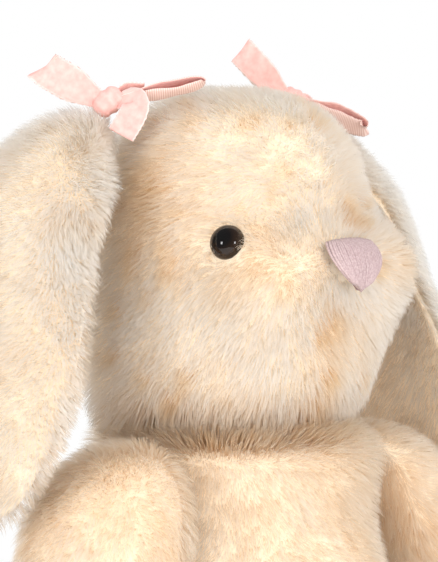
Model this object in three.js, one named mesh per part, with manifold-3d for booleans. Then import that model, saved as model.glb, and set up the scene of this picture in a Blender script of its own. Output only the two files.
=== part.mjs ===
// A sitting lop-eared plush rabbit, built as sewn covers, fillings and trim.
// Millimetres, +Z up. The rabbit looks along -Y and its own left side is +X.
// The origin is on the floor under the middle of the whole toy.
import * as THREE from "three";
import { mergeVertices } from "three/addons/utils/BufferGeometryUtils.js";
import Module from "manifold-3d";

const wasm = await Module();
wasm.setup();

// ---- Driving dimensions ----
const GAP = 0.3; // clearance between neighbouring pieces
const COVER = 4.5; // plush fabric: backing and the lower half of the pile
const CENTRE_Y = 10.2; // moves the finished toy so that its middle is over the origin

const HEAD = {
  height: 178, halfWidth: 48, jowlSpread: 3.5, front: 50, back: 47, crown: 58, jowl: 58,
  crownPower: 2.8, jowlPower: 4.6,
};
const MUZZLE = { azimuth: 31, polar: 92, spread: 18.5, above: 14.5, below: 27, height: 14.5 };
const NOSE_BUMP = { polar: 89, spread: 15, rise: 12, height: 7 };
const NOSE = { halfWidth: 11.5, top: 185, bottom: 170, thick: 1.8, lift: 0.4 };
const EYE = { azimuth: 47, polar: 82, radius: 6.1, dome: 5.2, sink: 2.6, shank: 1.6, washer: 5.5 };
const NECK = { radius: 13, bottom: 108, top: 128 };
const TORSO = { height: 117, seat: 39, neck: 14, belly: 3, depth: 1.02 };
const PANEL = 3; // thickness of the seat panel and the soles
const POUCH_TOP = 33;
const SHOULDER = { x: 45, y: -8, z: 98, flare: 0.36 };
const HIP = { x: 34, y: -43, z: 25.5, up: 25, down: -25 };
const TAIL = { y: 72, z: 30, radius: 16, opening: 7 };
const EAR = { middle: 15, halfWidth: 34, thick: 5, edge: 1.3, cup: 5, roll: 5.5, sweep: 7 };
const BOW = { x: 46, y: 13, z: 235, width: 10, thick: 0.9, loop: 23 };

const rad = THREE.MathUtils.degToRad;
const vec = (x, y, z) => new THREE.Vector3(x, y, z);
const SIDES = { left: 1, right: -1 };

// ---- Mesh helpers ----
function geometryFrom(points, triangles) {
  const geometry = new THREE.BufferGeometry();
  const numbers = points.flatMap((p) => p.toArray());
  geometry.setAttribute("position", new THREE.Float32BufferAttribute(numbers, 3));
  geometry.setIndex(triangles.flat());
  return geometry;
}

// A closed skin of rings. point(t, angle) gives the surface, and t = 0 and 1 are its two poles.
function loft(rows, cols, point) {
  const points = [point(0, 0)];
  const triangles = [];
  const at = (row, col) => 1 + (row - 1) * cols + (col % cols);
  for (let row = 1; row < rows; row++) {
    for (let col = 0; col < cols; col++) points.push(point(row / rows, (2 * Math.PI * col) / cols));
  }
  points.push(point(1, 0));
  for (let col = 0; col < cols; col++) {
    triangles.push([0, at(1, col + 1), at(1, col)]);
    for (let row = 1; row < rows - 1; row++) {
      triangles.push([at(row, col), at(row, col + 1), at(row + 1, col)]);
      triangles.push([at(row, col + 1), at(row + 1, col + 1), at(row + 1, col)]);
    }
    triangles.push([points.length - 1, at(rows - 1, col), at(rows - 1, col + 1)]);
  }
  return outward(geometryFrom(points, triangles));
}

// A closed sheet. point(s, t, face) runs over the sheet, with face 1 on top and 0 underneath.
function slab(rows, cols, point) {
  const points = [];
  const triangles = [];
  const at = (row, col, face) => (row * (cols + 1) + col) * 2 + face;
  const quad = (a, b, c, d) => triangles.push([a, b, c], [a, c, d]);
  for (let row = 0; row <= rows; row++) {
    for (let col = 0; col <= cols; col++) {
      for (const face of [0, 1]) points.push(point(row / rows, col / cols, face));
    }
  }
  for (let row = 0; row < rows; row++) {
    for (let col = 0; col < cols; col++) {
      quad(at(row, col, 1), at(row + 1, col, 1), at(row + 1, col + 1, 1), at(row, col + 1, 1));
      quad(at(row, col, 0), at(row, col + 1, 0), at(row + 1, col + 1, 0), at(row + 1, col, 0));
    }
    quad(at(row, 0, 0), at(row + 1, 0, 0), at(row + 1, 0, 1), at(row, 0, 1));
    quad(at(row, cols, 1), at(row + 1, cols, 1), at(row + 1, cols, 0), at(row, cols, 0));
  }
  for (let col = 0; col < cols; col++) {
    quad(at(0, col, 0), at(0, col, 1), at(0, col + 1, 1), at(0, col + 1, 0));
    quad(at(rows, col, 1), at(rows, col, 0), at(rows, col + 1, 0), at(rows, col + 1, 1));
  }
  return outward(geometryFrom(points, triangles));
}

// Turns the triangles round if the volume they enclose comes out negative.
function outward(geometry) {
  const p = geometry.getAttribute("position");
  const index = geometry.getIndex();
  const corner = [0, 1, 2].map(() => vec(0, 0, 0));
  let volume = 0;
  for (let i = 0; i < index.count; i += 3) {
    corner.forEach((c, k) => c.fromBufferAttribute(p, index.getX(i + k)));
    volume += corner[0].dot(corner[1].clone().cross(corner[2]));
  }
  if (volume < 0) {
    for (let i = 0; i < index.count; i += 3) {
      const second = index.getX(i + 1);
      index.setX(i + 1, index.getX(i + 2));
      index.setX(i + 2, second);
    }
  }
  return geometry;
}

function solid(geometry) {
  const bare = geometry.clone();
  bare.deleteAttribute("normal");
  bare.deleteAttribute("uv");
  const merged = mergeVertices(bare, 1e-4);
  return new wasm.Manifold(new wasm.Mesh({
    numProp: 3,
    vertProperties: new Float32Array(merged.getAttribute("position").array),
    triVerts: new Uint32Array(merged.getIndex().array),
  }));
}

function geometryOf(body) {
  const mesh = body.getMesh();
  const numbers = Float32Array.from(mesh.vertProperties);
  const geometry = new THREE.BufferGeometry();
  geometry.setAttribute("position", new THREE.Float32BufferAttribute(numbers, 3));
  geometry.setIndex(Array.from(mesh.triVerts));
  return geometry;
}

const cut = (body, ...tools) => tools.reduce((rest, tool) => rest.subtract(tool), body);

// An upright cylinder about the toy's middle.
function cylinder(radius, bottom, top) {
  const geometry = new THREE.CylinderGeometry(radius, radius, top - bottom, 28);
  geometry.rotateX(Math.PI / 2).translate(0, 0, (bottom + top) / 2);
  return solid(geometry);
}

// Everything between two heights.
function block(bottom, top) {
  return solid(new THREE.BoxGeometry(300, 300, top - bottom).translate(0, 0, (bottom + top) / 2));
}

// A solid turned about a line from base along direction, from a profile of [radius, height] pairs.
function turned(profile, base, direction, cols = 24) {
  const geometry = new THREE.LatheGeometry(profile.map(([r, h]) => new THREE.Vector2(r, h)), cols);
  geometry.applyQuaternion(new THREE.Quaternion().setFromUnitVectors(vec(0, 1, 0), direction));
  geometry.translate(base.x, base.y, base.z);
  const merged = mergeVertices(stripped(geometry), 1e-4);
  merged.setIndex(realTriangles(merged));
  return outward(merged);
}

function stripped(geometry) {
  geometry.deleteAttribute("normal");
  geometry.deleteAttribute("uv");
  return geometry;
}

function realTriangles(geometry) {
  const index = Array.from(geometry.getIndex().array);
  const kept = [];
  for (let i = 0; i < index.length; i += 3) {
    const [a, b, c] = index.slice(i, i + 3);
    if (a !== b && b !== c && c !== a) kept.push(a, b, c);
  }
  return kept;
}

// ---- Head ----
const bell = (offset, width) => Math.exp(-((offset / width) ** 2));

function turn(azimuth, centre) {
  return ((azimuth - centre + 540) % 360) - 180;
}

// Distance from the middle of the head to the cover. polar is 0 at the crown, azimuth is 0 at the
// nose and grows towards the rabbit's left, both in degrees.
function headReach(polar, azimuth) {
  const up = Math.cos(rad(polar));
  const out = Math.sin(rad(polar));
  const side = Math.sin(rad(azimuth)) / (HEAD.halfWidth - HEAD.jowlSpread * up);
  const ahead = Math.cos(rad(azimuth));
  const along = ahead / (ahead > 0 ? HEAD.front : HEAD.back);
  const power = up > 0 ? HEAD.crownPower : HEAD.jowlPower;
  const level = Math.abs(up) / (up > 0 ? HEAD.crown : HEAD.jowl);
  let reach = ((out * Math.hypot(side, along)) ** power + level ** power) ** (-1 / power);
  const rise = polar < MUZZLE.polar ? MUZZLE.above : MUZZLE.below;
  for (const centre of [MUZZLE.azimuth, -MUZZLE.azimuth]) {
    const across = bell(turn(azimuth, centre), MUZZLE.spread);
    reach += MUZZLE.height * across * bell(polar - MUZZLE.polar, rise);
  }
  const middle = bell(turn(azimuth, 0), NOSE_BUMP.spread);
  return reach + NOSE_BUMP.height * middle * bell(polar - NOSE_BUMP.polar, NOSE_BUMP.rise);
}

function headPoint(polar, azimuth, inset = 0) {
  const reach = headReach(polar, azimuth) - inset;
  const out = Math.sin(rad(polar));
  return vec(
    reach * out * Math.sin(rad(azimuth)),
    -reach * out * Math.cos(rad(azimuth)),
    HEAD.height + reach * Math.cos(rad(polar)),
  );
}

function headSolid(inset, rows, cols) {
  return solid(loft(rows, cols, (t, a) => headPoint(180 * t, (a * 180) / Math.PI, inset)));
}

// Where an eye sits: a point sunk into the cover, and the direction the cover faces there.
function eyeSeat(side) {
  const at = headPoint(EYE.polar, side * EYE.azimuth);
  const down = headPoint(EYE.polar + 4, side * EYE.azimuth).sub(at);
  const round = headPoint(EYE.polar, side * (EYE.azimuth + 4)).sub(at);
  const out = round.cross(down).multiplyScalar(-side).normalize();
  return { at: at.addScaledVector(out, -EYE.sink), out };
}

function eyeGeometry(side) {
  const { at, out } = eyeSeat(side);
  const back = EYE.sink - COVER - 7.6;
  const profile = [[0, back], [EYE.shank, back], [EYE.shank, 0], [EYE.radius, 0]];
  const steps = 5;
  for (let i = 1; i < steps; i++) {
    const a = (i / steps) * (Math.PI / 2);
    profile.push([EYE.radius * Math.cos(a), 0.6 + EYE.dome * Math.sin(a)]);
  }
  profile.push([0, 0.6 + EYE.dome]);
  return turned(profile, at, out, 18);
}

function washerGeometry(side) {
  const { at, out } = eyeSeat(side);
  const front = EYE.sink - COVER - 4.6;
  const back = front - 1.4;
  const bore = EYE.shank + 0.15;
  const profile = [[bore, front], [bore, back], [EYE.washer, back], [EYE.washer, front], [bore, front]];
  return turned(profile, at, out, 14);
}

function eyeHole(side, radius, depth, height) {
  const { at, out } = eyeSeat(side);
  return solid(turned([[0, depth], [radius, depth], [radius, height], [0, height]], at, out, 16));
}

function headCover() {
  const cuts = [cylinder(NECK.radius + 2, 100, 136)];
  for (const side of [1, -1]) {
    cuts.push(eyeHole(side, EYE.radius + GAP, -GAP, 20));
    cuts.push(eyeHole(side, EYE.shank + GAP, -12, 2));
  }
  const inner = headSolid(COVER, 10, 16);
  return geometryOf(cut(headSolid(0, 18, 34), inner, ...cuts));
}

function headStuffing() {
  const cuts = [cylinder(NECK.radius + 2, 100, NECK.top + 2)];
  for (const side of [1, -1]) cuts.push(eyeHole(side, EYE.washer + 0.8, -14, 2));
  return geometryOf(cut(headSolid(COVER + GAP, 10, 16), ...cuts));
}

// A rounded triangle of satin stitch that follows the front of the muzzle, point downwards.
function noseGeometry() {
  return slab(6, 8, (s, t, face) => {
    const z = THREE.MathUtils.lerp(NOSE.bottom, NOSE.top, s);
    const half = NOSE.halfWidth * Math.pow(Math.sin(Math.PI * (0.06 + 0.62 * s)), 0.8);
    const x = (2 * t - 1) * half;
    const sag = 2.5 * (1 - Math.abs(2 * t - 1)) * (1 - s);
    const polar = 90 - (180 / Math.PI) * Math.asin((z - sag - HEAD.height) / 60);
    const azimuth = (180 / Math.PI) * Math.asin(x / 58);
    const crown = 1 - 0.7 * (2 * t - 1) ** 4;
    return headPoint(polar, azimuth, -(NOSE.lift + face * NOSE.thick * crown));
  });
}

// ---- Torso ----
// Half of the torso's outline, from the middle of the seat to the middle of the neck.
function torsoOutline(t) {
  const side = new THREE.SplineCurve([
    [TORSO.seat, 0], [49.5, 5], [55.5, 20], [56, 40], [51, 66], [45, 88], [41, 103], [34, 113],
    [TORSO.neck, TORSO.height],
  ].map(([r, z]) => new THREE.Vector2(r, z)));
  const [seatEnd, neckStart] = [0.14, 0.94];
  if (t < seatEnd) return new THREE.Vector2((TORSO.seat * t) / seatEnd, 0);
  if (t > neckStart) return new THREE.Vector2((TORSO.neck * (1 - t)) / (1 - neckStart), TORSO.height);
  return side.getPointAt((t - seatEnd) / (neckStart - seatEnd));
}

function torsoSolid(inset, rows, cols) {
  return solid(loft(rows, cols, (t, a) => {
    const outline = torsoOutline(t);
    const r = outline.x * (1 - inset / 52);
    const z = inset + (outline.y * (TORSO.height - 2 * inset)) / TORSO.height;
    const forward = TORSO.belly * Math.sin((Math.PI * outline.y) / TORSO.height);
    return vec(r * Math.sin(a), -r * TORSO.depth * Math.cos(a) - forward, z);
  }));
}

const torsoInside = () => torsoSolid(COVER + GAP, 10, 16);

function torsoCover() {
  const holes = [cylinder(NECK.radius + 1.5, 100, 130), cylinder(TORSO.seat - 3, -5, 20)];
  return geometryOf(cut(torsoSolid(0, 16, 28), torsoSolid(COVER, 10, 16), ...holes));
}

function seatPanel() {
  return geometryOf(cylinder(TORSO.seat - 3 - GAP, 0, PANEL));
}

function torsoStuffing() {
  const neck = cylinder(NECK.radius + 1.5, NECK.bottom - 1, 130);
  return geometryOf(cut(torsoInside(), block(-10, POUCH_TOP + GAP), neck));
}

function pelletPouch() {
  return geometryOf(cut(torsoInside(), block(POUCH_TOP, 150)));
}

function neckStuffing() {
  const [low, high, r] = [NECK.bottom, NECK.top, NECK.radius];
  const profile = [[0, low], [r - 2, low], [r, low + 2], [r, high - 3], [r - 3, high], [0, high]];
  return turned(profile, vec(0, 0, 0), vec(0, 0, 1));
}

// ---- Limbs ----
// A stuffed tube along a curved line, rounded at both ends.
function tube(spine, radiusAt, stretch, inset, rows, cols) {
  const curve = new THREE.CatmullRomCurve3(spine);
  const length = curve.getLength();
  const axis = spine[spine.length - 1].clone().sub(spine[0]).normalize();
  const across = vec(0, 0, 1).cross(axis).normalize();
  const over = axis.clone().cross(across);
  return solid(loft(rows, cols, (t, a) => {
    const s = (1 - Math.cos(Math.PI * t)) / 2;
    const along = (inset + s * (length - 2 * inset)) / length;
    const end = Math.pow(Math.max(0, 1 - Math.abs(2 * s - 1) ** 2.6), 1 / 2.6);
    const r = (radiusAt(along) - inset) * end;
    return curve.getPointAt(along)
      .addScaledVector(across, r * stretch * Math.cos(a))
      .addScaledVector(over, r * Math.sin(a));
  }));
}

function armSolid(side, inset, rows, cols) {
  const spine = [[34, -6, 106], [58, -9, 94], [77, -16, 75], [92, -25, 45]];
  const radiusAt = (s) => 26.5 + 2.5 * Math.sin(Math.PI * s) - 3 * s;
  return tube(spine.map(([x, y, z]) => vec(side * x, y, z)), radiusAt, 1.05, inset, rows, cols);
}

// Everything on the torso's side of a cone about the shoulder's axle, so the arm can swing past.
function shoulderCone(side, gap) {
  const [near, reach] = [SHOULDER.x + gap, 110];
  const profile = [[0, 0], [reach, 0], [reach, near + SHOULDER.flare * reach], [0, near]];
  return solid(turned(profile, vec(0, SHOULDER.y, SHOULDER.z), vec(side, 0, 0), 30));
}

function armCover(side) {
  return geometryOf(cut(armSolid(side, 0, 11, 18), armSolid(side, COVER, 8, 12), shoulderCone(side, GAP)));
}

function armStuffing(side) {
  return geometryOf(cut(armSolid(side, COVER + GAP, 8, 12), shoulderCone(side, 2 * GAP)));
}

function legSolid(side, inset, rows, cols) {
  const spine = [[30, -28, 27], [37, -56, 25], [44, -84, 25], [50, -109, 29]];
  const radiusAt = (s) => 24.5 - 2.5 * Math.sin(Math.PI * s) + 2.5 * s * s;
  return tube(spine.map(([x, y, z]) => vec(side * x, y, z)), radiusAt, 1.02, inset, rows, cols);
}

// The torso as the leg meets it at several lifts about the hip, so that the leg can swing clear.
function torsoSweep(side, gap) {
  const steps = 5;
  return Array.from({ length: steps }, (_, i) => {
    const angle = HIP.down + ((HIP.up - HIP.down) * i) / (steps - 1);
    return torsoSolid(-gap, 8, 18)
      .translate([-side * HIP.x, -HIP.y, -HIP.z])
      .rotate([angle, 0, 0])
      .translate([side * HIP.x, HIP.y, HIP.z]);
  });
}

const soleDirection = (side) => vec(side * 0.22, -0.96, 0.17).normalize();
const soleCentre = (side) => vec(side * 48.2, -100, 27);

// Everything past the sole's plane, starting a little behind it by the given depth.
function beyondSole(side, depth) {
  const direction = soleDirection(side);
  const profile = [[0, -depth], [60, -depth], [60, 60], [0, 60]];
  return solid(turned(profile, soleCentre(side), direction, 16));
}

function legCover(side) {
  const inner = legSolid(side, COVER, 8, 12);
  return geometryOf(cut(legSolid(side, 0, 11, 18), inner, beyondSole(side, 0), ...torsoSweep(side, 2)));
}

function legStuffing(side) {
  const front = beyondSole(side, PANEL - 1.5 + 2 * GAP);
  return geometryOf(cut(legSolid(side, COVER + GAP, 8, 12), front, ...torsoSweep(side, 2.3)));
}

// The oval end panel of a foot, sewn across the open end of the leg.
function soleGeometry(side) {
  const profile = [[0, GAP], [19, GAP], [20.5, 1.3], [19, PANEL], [0, PANEL]];
  return turned(profile, soleCentre(side), soleDirection(side), 26);
}

// ---- Tail ----
function tailSolid(radius, rows, cols) {
  return solid(loft(rows, cols, (t, a) => vec(
    radius * Math.sin(Math.PI * t) * Math.sin(a),
    TAIL.y + radius * Math.sin(Math.PI * t) * Math.cos(a),
    TAIL.z + radius * Math.cos(Math.PI * t),
  )));
}

function tailCover() {
  const profile = [[0, -30], [TAIL.opening, -30], [TAIL.opening, 0], [0, 0]];
  const mouth = solid(turned(profile, vec(0, TAIL.y, TAIL.z), vec(0, 1, 0)));
  const inner = tailSolid(TAIL.radius - COVER, 6, 10);
  return geometryOf(cut(tailSolid(TAIL.radius, 9, 16), inner, mouth));
}

function tailStuffing() {
  return geometryOf(tailSolid(TAIL.radius - COVER - GAP, 6, 10));
}

// ---- Ears ----
// The middle line of a hanging ear: out over the side of the head, then down past the shoulder.
const earLine = new THREE.CatmullRomCurve3([
  [40.5, 218], [50, 222], [61, 219], [72, 209], [82, 193], [90, 170], [97, 142], [103, 113],
  [107, 85],
].map(([x, z]) => vec(x, 0, z)));

function earHalfWidth(s) {
  const root = THREE.MathUtils.smoothstep(s, -0.06, 0.3);
  const tip = Math.sqrt(Math.max(0, 1 - Math.max(0, (s - 0.55) / 0.45) ** 2.4));
  return 1.2 + (EAR.halfWidth - 1.2) * (0.3 + 0.7 * root) * tip;
}

// How far the front edge rolls in towards the head, which is most just below the root.
function earRoll(s) {
  const { smoothstep } = THREE.MathUtils;
  return EAR.roll * smoothstep(s, 0.05, 0.25) * (1 - smoothstep(s, 0.4, 0.8));
}

function earPanel(side, outer) {
  return slab(14, 4, (s, t, face) => {
    const at = earLine.getPointAt(s);
    const along = earLine.getTangentAt(s);
    const away = vec(-along.z, 0, along.x);
    const across = 2 * t - 1;
    const middle = EAR.middle + 5 * (1 - s) ** 3 - EAR.sweep * s ** 2;
    const filled = (1 - across ** 4) * Math.min(1, 4 * (1 - s) + 0.15);
    const fullness = EAR.edge + (EAR.thick - EAR.edge) * filled;
    const offset = GAP / 2 + face * fullness;
    const cupping = EAR.cup * Math.sin(Math.PI * Math.min(1, s + 0.1)) + (across < 0 ? earRoll(s) : 0);
    const shift = (outer ? offset : -offset) - cupping * across ** 2;
    return vec(side * (at.x + away.x * shift), middle + across * earHalfWidth(s), at.z + away.z * shift);
  });
}

// ---- Bows ----
// A ribbon along a path in the plane of two directions. path(t) gives [along, up, width].
function ribbon(centre, forward, across, steps, path) {
  const up = vec(0, 0, 1);
  const at = (t) => path(THREE.MathUtils.clamp(t, 0, 1));
  return slab(steps, 1, (s, t, face) => {
    const [along, lift, width] = at(s);
    const [a0, u0] = at(s - 0.01);
    const [a1, u1] = at(s + 0.01);
    const length = Math.hypot(a1 - a0, u1 - u0);
    const shift = (face - 0.5) * BOW.thick;
    return centre.clone()
      .addScaledVector(forward, along - (shift * (u1 - u0)) / length)
      .addScaledVector(up, lift + (shift * (a1 - a0)) / length)
      .addScaledVector(across, (t - 0.5) * width);
  });
}

// Both loops are one strip: out over the ear and back, then in over the head and back.
function bowLoops(side) {
  const centre = vec(side * BOW.x, BOW.y, BOW.z);
  return ribbon(centre, vec(side, 0, 0), vec(0, 1, 0), 30, (t) => {
    const a = 2 * Math.PI * (0.008 + 0.984 * t);
    const out = Math.sin(a);
    const tilt = out > 0 ? 0.36 : -0.14;
    const lift = Math.cos(a) * (1 + 6 * out ** 2) + BOW.loop * out * tilt;
    return [BOW.loop * out, lift, BOW.width * (0.58 + 0.42 * Math.min(1, 1.6 * Math.abs(out)))];
  });
}

// The wrap that pinches the loops, a rounded band with a slot for the ribbon.
function bowKnot(side) {
  const { x, y, z } = vec(side * BOW.x, BOW.y, BOW.z);
  const band = solid(loft(8, 14, (t, a) => vec(
    x + 3.6 * Math.cos(Math.PI * t),
    y + 5.4 * Math.sin(Math.PI * t) ** 0.7 * Math.cos(a),
    z + 4.6 * Math.sin(Math.PI * t) ** 0.7 * Math.sin(a),
  )));
  const slot = solid(new THREE.BoxGeometry(12, BOW.width * 0.76, 5.6).translate(x, y, z));
  return geometryOf(cut(band, slot));
}

// The two cut ends, one strip that passes under the knot and falls to the front and the back.
function bowTails(side) {
  const line = new THREE.CatmullRomCurve3([
    [-23, -15.5], [-20, -9.5], [-14, -5.6], [0, -5.1], [14, -5.1], [20, -6.5], [25, -10.5],
  ].map(([along, lift]) => vec(along, lift, 0)));
  return ribbon(vec(side * BOW.x, BOW.y, BOW.z), vec(0, 1, 0), vec(1, 0, 0), 16, (t) => {
    const p = line.getPoint(t);
    return [p.x, p.y, BOW.width * (0.6 + 0.4 * Math.abs(2 * t - 1) ** 0.7)];
  });
}

// ---- Assembly ----
const cream = { color: 0xf3e3c4, roughness: 0.95, metalness: 0 };
const filling = { color: 0xf6f4ee, roughness: 1, metalness: 0 };
const pellets = { color: 0xe8e4da, roughness: 0.8, metalness: 0 };
const velvet = { color: 0xebb7ab, roughness: 0.7, metalness: 0 };
const floss = { color: 0xddc7cd, roughness: 0.5, metalness: 0 };
const gloss = { color: 0x14100e, roughness: 0.08, metalness: 0 };
const plastic = { color: 0xe9e9e6, roughness: 0.5, metalness: 0 };

const rabbit = new THREE.Group();
rabbit.name = "plush_rabbit";
rabbit.position.y = CENTRE_Y;

function add(name, geometry, look) {
  geometry.computeVertexNormals();
  const mesh = new THREE.Mesh(geometry, new THREE.MeshStandardMaterial(look));
  mesh.name = name;
  rabbit.add(mesh);
}

add("torso_cover", torsoCover(), cream);
add("torso_stuffing", torsoStuffing(), filling);
add("pellet_pouch", pelletPouch(), pellets);
add("seat_panel", seatPanel(), cream);
add("neck_stuffing", neckStuffing(), filling);
add("head_cover", headCover(), cream);
add("head_stuffing", headStuffing(), filling);
add("nose_embroidery", noseGeometry(), floss);
add("tail_cover", tailCover(), cream);
add("tail_stuffing", tailStuffing(), filling);
for (const [name, side] of Object.entries(SIDES)) {
  add(`eye_${name}`, eyeGeometry(side), gloss);
  add(`eye_washer_${name}`, washerGeometry(side), plastic);
  add(`ear_${name}_outer_panel`, earPanel(side, true), cream);
  add(`ear_${name}_inner_panel`, earPanel(side, false), cream);
  add(`bow_${name}_loops`, bowLoops(side), velvet);
  add(`bow_${name}_knot`, bowKnot(side), velvet);
  add(`bow_${name}_tails`, bowTails(side), velvet);
  add(`arm_${name}_cover`, armCover(side), cream);
  add(`arm_${name}_stuffing`, armStuffing(side), filling);
  add(`leg_${name}_cover`, legCover(side), cream);
  add(`leg_${name}_stuffing`, legStuffing(side), filling);
  add(`leg_${name}_sole`, soleGeometry(side), cream);
}

export default rabbit;
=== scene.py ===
import math
import bpy
import numpy as np
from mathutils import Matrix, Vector
from mathutils.kdtree import KDTree


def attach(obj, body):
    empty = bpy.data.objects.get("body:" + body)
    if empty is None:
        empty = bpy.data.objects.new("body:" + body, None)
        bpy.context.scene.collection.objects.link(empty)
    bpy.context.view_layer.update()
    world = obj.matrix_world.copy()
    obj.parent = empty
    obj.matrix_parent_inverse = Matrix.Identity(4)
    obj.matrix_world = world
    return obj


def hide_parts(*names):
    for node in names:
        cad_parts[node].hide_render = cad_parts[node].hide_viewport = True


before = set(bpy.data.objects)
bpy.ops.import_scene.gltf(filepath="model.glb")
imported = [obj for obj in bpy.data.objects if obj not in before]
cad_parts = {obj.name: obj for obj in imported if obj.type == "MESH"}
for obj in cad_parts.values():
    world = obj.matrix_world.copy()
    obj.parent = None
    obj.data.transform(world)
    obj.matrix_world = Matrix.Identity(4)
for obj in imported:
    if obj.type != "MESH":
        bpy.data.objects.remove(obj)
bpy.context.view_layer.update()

# Shapes are worked out in millimetres about the toy's upright axis, as the CAD model draws them,
# and moved into the shared frame when a mesh is made.
CENTRE_Y = 10.2
SIDES = {"left": 1, "right": -1}

HEAD = dict(height=178, half_width=48, jowl_spread=3.5, front=50, back=47, crown=58, jowl=58,
            crown_power=2.8, jowl_power=4.6)
MUZZLE = dict(azimuth=31, polar=92, spread=18.5, above=14.5, below=27, height=14.5)
NOSE_BUMP = dict(polar=89, spread=15, rise=12, height=7)
NOSE = dict(half_width=11.5, top=185, bottom=171)
EYE = dict(azimuth=47, polar=82, radius=6.1, sink=2.6)
SHOULDER = dict(x=45, y=-8, z=98, flare=0.36)
RIBBON = dict(half=5.0, thick=0.7, pinch=0.52)
EAR_LINE = [(40.5, 218), (50, 222), (61, 219), (72, 209), (82, 193), (90, 170), (97, 142),
            (103, 114), (106, 94)]
# How far each ear's front edge rolls towards the head, and how much narrower it is drawn in there.
EAR_FRONT = {1: dict(roll=11, drawn_in=1.5), -1: dict(roll=7, drawn_in=12)}
TORSO_SIDE = [(39, 0), (49.5, 5), (55.5, 20), (56, 40), (51, 66), (45, 88), (41, 103), (34, 113),
              (14, 117)]
TORSO_HEIGHT = 117
TAIL = dict(y=72, z=30, radius=16)
ARM_LINE = [(34, -6, 106), (58, -9, 94), (77, -16, 75), (92, -25, 45)]
LEG_LINE = [(30, -28, 27), (37, -56, 25), (44, -84, 25), (50, -109, 29)]
SOLE = dict(at=(48.2, -100, 27), facing=(0.22, -0.96, 0.17), radius=20.0, thick=2.4)
SEAT_PANEL = dict(z=2.8, radius=35.4, thick=1.4)
BACKING_INSET = 2.6  # the knitted backing lies this far inside the CAD cover
MM = 0.001

# Pile: the number of strands on each piece of cloth, and how they gather into locks.
STRANDS = dict(head=76000, torso=46000, arm=25000, leg=18000, tail=7000, ear=26000,
               ear_inner=15000, sole=6000)
MOST_STRANDS_IN_A_PIECE = 39000
ROOT_DEPTH = 0.5
LOCKS = ((70, 0.105), (9, 0.30))  # strands to a lock, and how far their tips are drawn to it
LEVELS = np.array([0.0, 0.34, 0.7, 1.0])  # shares of a strand's length, root to tip
TAPER = np.array([1.0, 0.95, 0.62])  # its width at the levels below the tip
LEVEL_OF_POINT = [0, 0, 1, 1, 2, 2, 3]
CORNERS_OF_STRAND = np.array([0, 1, 3, 2, 2, 3, 5, 4, 4, 5, 6])  # two quads and a triangle


# ---- Numbers ----
def unit(v):
    return v / np.maximum(np.linalg.norm(v, axis=-1, keepdims=True), 1e-9)


def across(v, n):
    """The part of v that lies in the surface with normal n, as a unit vector."""
    return unit(v - (v * n).sum(1, keepdims=True) * n)


def bell(offset, width):
    return np.exp(-((offset / width) ** 2))


def ramp(x, low, high):
    t = np.clip((x - low) / (high - low), 0, 1)
    return t * t * (3 - 2 * t)


def noise(points, cell, seed, parts=1):
    """Smooth random values from -1 to 1, on a lattice with the given cell."""
    table = np.random.default_rng(seed).uniform(-1, 1, (4096, parts))
    q = points / cell
    base = np.floor(q).astype(np.int64)
    f = q - base
    f = f * f * (3 - 2 * f)
    total = np.zeros((len(points), parts))
    for corner in np.ndindex(2, 2, 2):
        key = base + corner
        index = (key[:, 0] * 73856093 ^ key[:, 1] * 19349663 ^ key[:, 2] * 83492791) & 4095
        weight = np.prod(np.where(corner, f, 1 - f), axis=1)
        total += table[index] * weight[:, None]
    return total


def smooth_line(points, count):
    """Evenly spaced points along a smooth curve through the given ones."""
    p = np.array(points, float)
    p = np.vstack([2 * p[0] - p[1], p, 2 * p[-1] - p[-2]])
    t = np.linspace(0, 1, 24, endpoint=False)[:, None]
    runs = [0.5 * (2 * b + (c - a) * t + (2 * a - 5 * b + 4 * c - d) * t ** 2
                   + (3 * b - a - 3 * c + d) * t ** 3)
            for a, b, c, d in zip(p, p[1:], p[2:], p[3:])]
    dense = np.vstack(runs + [p[-2:-1]])
    s = np.r_[0, np.cumsum(np.linalg.norm(np.diff(dense, axis=0), axis=1))]
    at = np.linspace(0, s[-1], count)
    return np.column_stack([np.interp(at, s, dense[:, k]) for k in range(p.shape[1])])


# ---- Meshes ----
def link_object(name, data):
    obj = bpy.data.objects.new(name, data)
    bpy.context.scene.collection.objects.link(obj)
    return obj


def new_mesh(name, points, corners, starts):
    """A smooth mesh in the shared frame, from points in millimetres.

    corners lists the point at each corner of each face, and starts is each face's first corner."""
    mesh = bpy.data.meshes.new(name)
    metres = ((points + [0, CENTRE_Y, 0]) * MM).astype(np.float32)
    mesh.vertices.add(len(metres))
    mesh.vertices.foreach_set("co", metres.ravel())
    mesh.loops.add(len(corners))
    mesh.loops.foreach_set("vertex_index", corners.astype(np.int32))
    mesh.polygons.add(len(starts))
    mesh.polygons.foreach_set("loop_start", starts.astype(np.int32))
    mesh.polygons.foreach_set("use_smooth", np.ones(len(starts), bool))
    mesh.update(calc_edges=True)
    return mesh


def make_object(name, points, faces, material):
    sizes = np.array([len(f) for f in faces])
    corners = np.concatenate([np.asarray(f) for f in faces])
    mesh = new_mesh(name, points, corners, np.r_[0, np.cumsum(sizes)[:-1]])
    mesh.validate()
    mesh.materials.append(material)
    return link_object(name, mesh)


def write_uv(mesh, uv):
    """Stores what a material reads as u and v, one row for each corner of each face."""
    layer = mesh.uv_layers.new(name="OFBake")
    layer.data.foreach_set("uv", uv.astype(np.float32).ravel())


def points_at_corners(mesh):
    corners = np.zeros(len(mesh.loops), np.int32)
    mesh.loops.foreach_get("vertex_index", corners)
    return corners


def joined(pieces):
    """Points and faces of several closed pieces, as one list each."""
    points, faces, start = [], [], 0
    for piece_points, piece_faces in pieces:
        faces += [tuple(i + start for i in face) for face in piece_faces]
        points.append(piece_points)
        start += len(piece_points)
    return np.vstack(points), faces


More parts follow.
